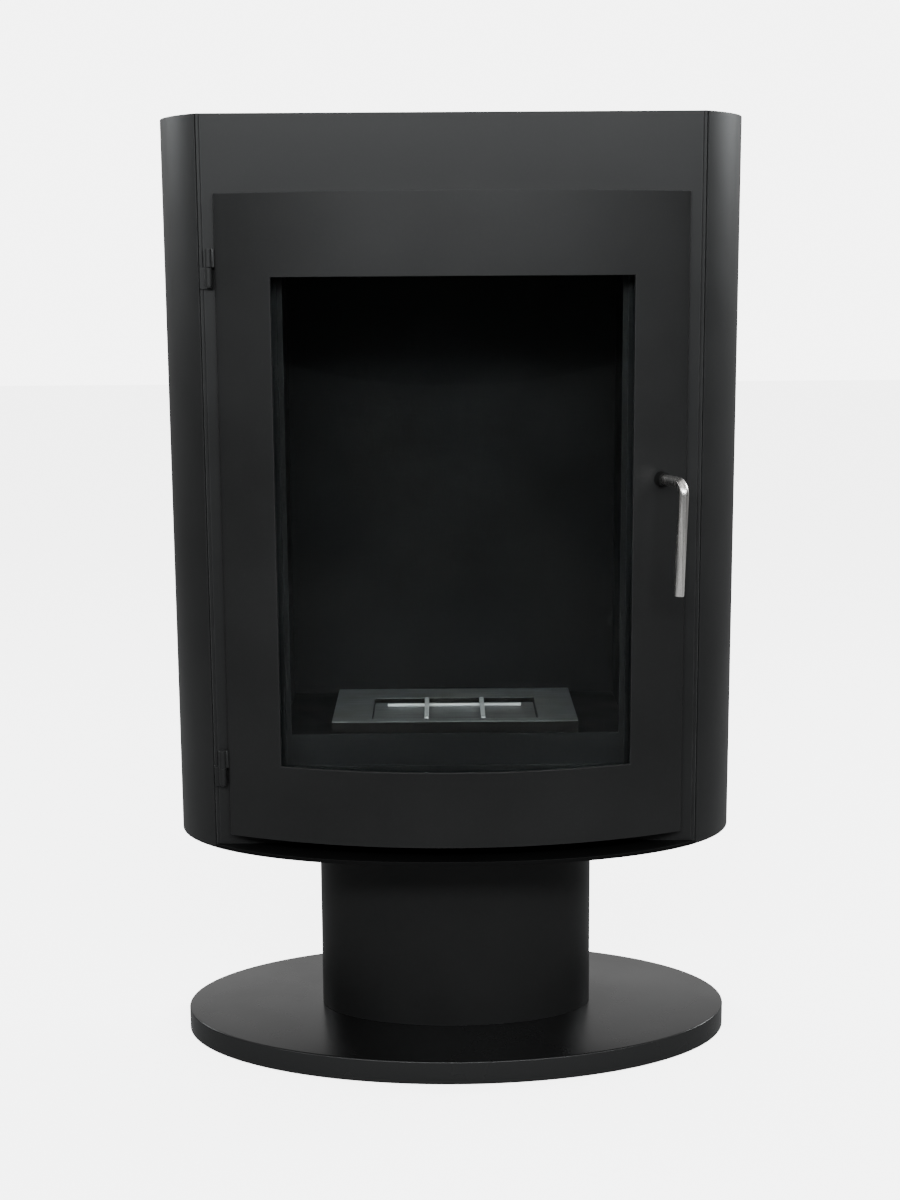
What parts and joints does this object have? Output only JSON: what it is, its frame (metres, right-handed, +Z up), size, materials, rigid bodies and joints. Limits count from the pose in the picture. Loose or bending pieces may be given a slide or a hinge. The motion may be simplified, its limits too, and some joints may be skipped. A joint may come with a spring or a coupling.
{
  "type": "free-standing stove",
  "caption": "Free-standing black steel stove on an oval pedestal, with a bowed glazed door that swings open, a turning latch handle and a lift-out liquid-fuel burner with a lid.",
  "frame": {"origin": "centre of the base's underside, on the floor", "axes": "+Z up, front of the stove and its door towards -Y, +X to the right as seen from the front"},
  "size_m": [0.58, 0.326, 0.956],
  "materials": {
    "black_steel": "satin black powder coat",
    "liner_steel": "matt heat-proof black",
    "plain_steel": "plain mill",
    "fasteners": "zinc plated",
    "ballast": "plain",
    "floor_pad": "matt",
    "door_glass": "clear heat-proof glass",
    "gasket": "woven glass fibre",
    "escutcheon": "matt black",
    "handle_steel": "brushed stainless",
    "burner_steel": "brushed stainless, dulled by heat",
    "burner_bright": "polished stainless",
    "wick": "ceramic fibre"
  },
  "bodies": {
    "stove": {"floor_pad": "floor_pad", "base_underplate": "plain_steel", "ballast_slab": "ballast", "base_cover": "black_steel", "base_studs": "fasteners", "base_nuts": "fasteners", "pedestal_foot_flange": "plain_steel", "pedestal_column": "black_steel", "pedestal_head_flange": "plain_steel", "column_bolts": "fasteners", "column_nuts": "fasteners", "body_floor": "black_steel", "left_side_shell": "black_steel", "right_side_shell": "black_steel", "front_fascia": "black_steel", "back_rails": "plain_steel", "back_panel": "black_steel", "back_screws": "fasteners", "top_plate": "black_steel", "firebox_left_wall": "liner_steel", "firebox_right_wall": "liner_steel", "firebox_back": "liner_steel", "firebox_roof": "liner_steel", "heat_deflector": "plain_steel", "deflector_spacers": "plain_steel", "rear_heat_shield": "plain_steel", "shield_spacers": "plain_steel", "shelf_angles": "plain_steel", "burner_shelf": "liner_steel", "latch_keeper": "plain_steel", "hinge_leaves": "black_steel", "hinge_pins": "black_steel"},
    "door": {"door_panel": "black_steel", "door_top_cap": "black_steel", "door_bottom_cap": "black_steel", "door_inner_frame": "black_steel", "door_glass": "door_glass", "glass_gasket": "gasket", "glass_clips": "plain_steel", "clip_screws": "fasteners", "door_seal": "gasket", "door_knuckles": "black_steel", "handle_escutcheon": "escutcheon"},
    "handle": {"handle_bar": "handle_steel", "latch_cam": "plain_steel", "cam_nut": "fasteners"},
    "burner": {"fuel_tank": "burner_steel", "wick_block": "wick", "wick_screen": "burner_steel", "burner_top_plate": "burner_steel", "lid_seat": "burner_steel"},
    "lid": {"burner_lid": "burner_steel", "lid_straps": "burner_bright", "lid_rod": "burner_bright"}
  },
  "joints": [
    {"name": "door_swing", "type": "hinge", "parent": "stove", "child": "door", "pos_m": [-0.235, -0.0986, 0.5], "axis": [0, 0, -1], "range_deg": [0, 110]},
    {"name": "handle_turn", "type": "hinge", "parent": "door", "child": "handle", "pos_m": [0.20229, -0.11268, 0.606], "axis": [0.3746, -0.9272, 0], "range_deg": [0, 90]},
    {"name": "burner_lift", "type": "slide", "parent": "stove", "child": "burner", "axis": [0, 0, 1], "range_m": [0, 0.09]},
    {"name": "lid_lift", "type": "slide", "parent": "burner", "child": "lid", "axis": [0, 0, 1], "range_m": [0, 0.08]}
  ]
}
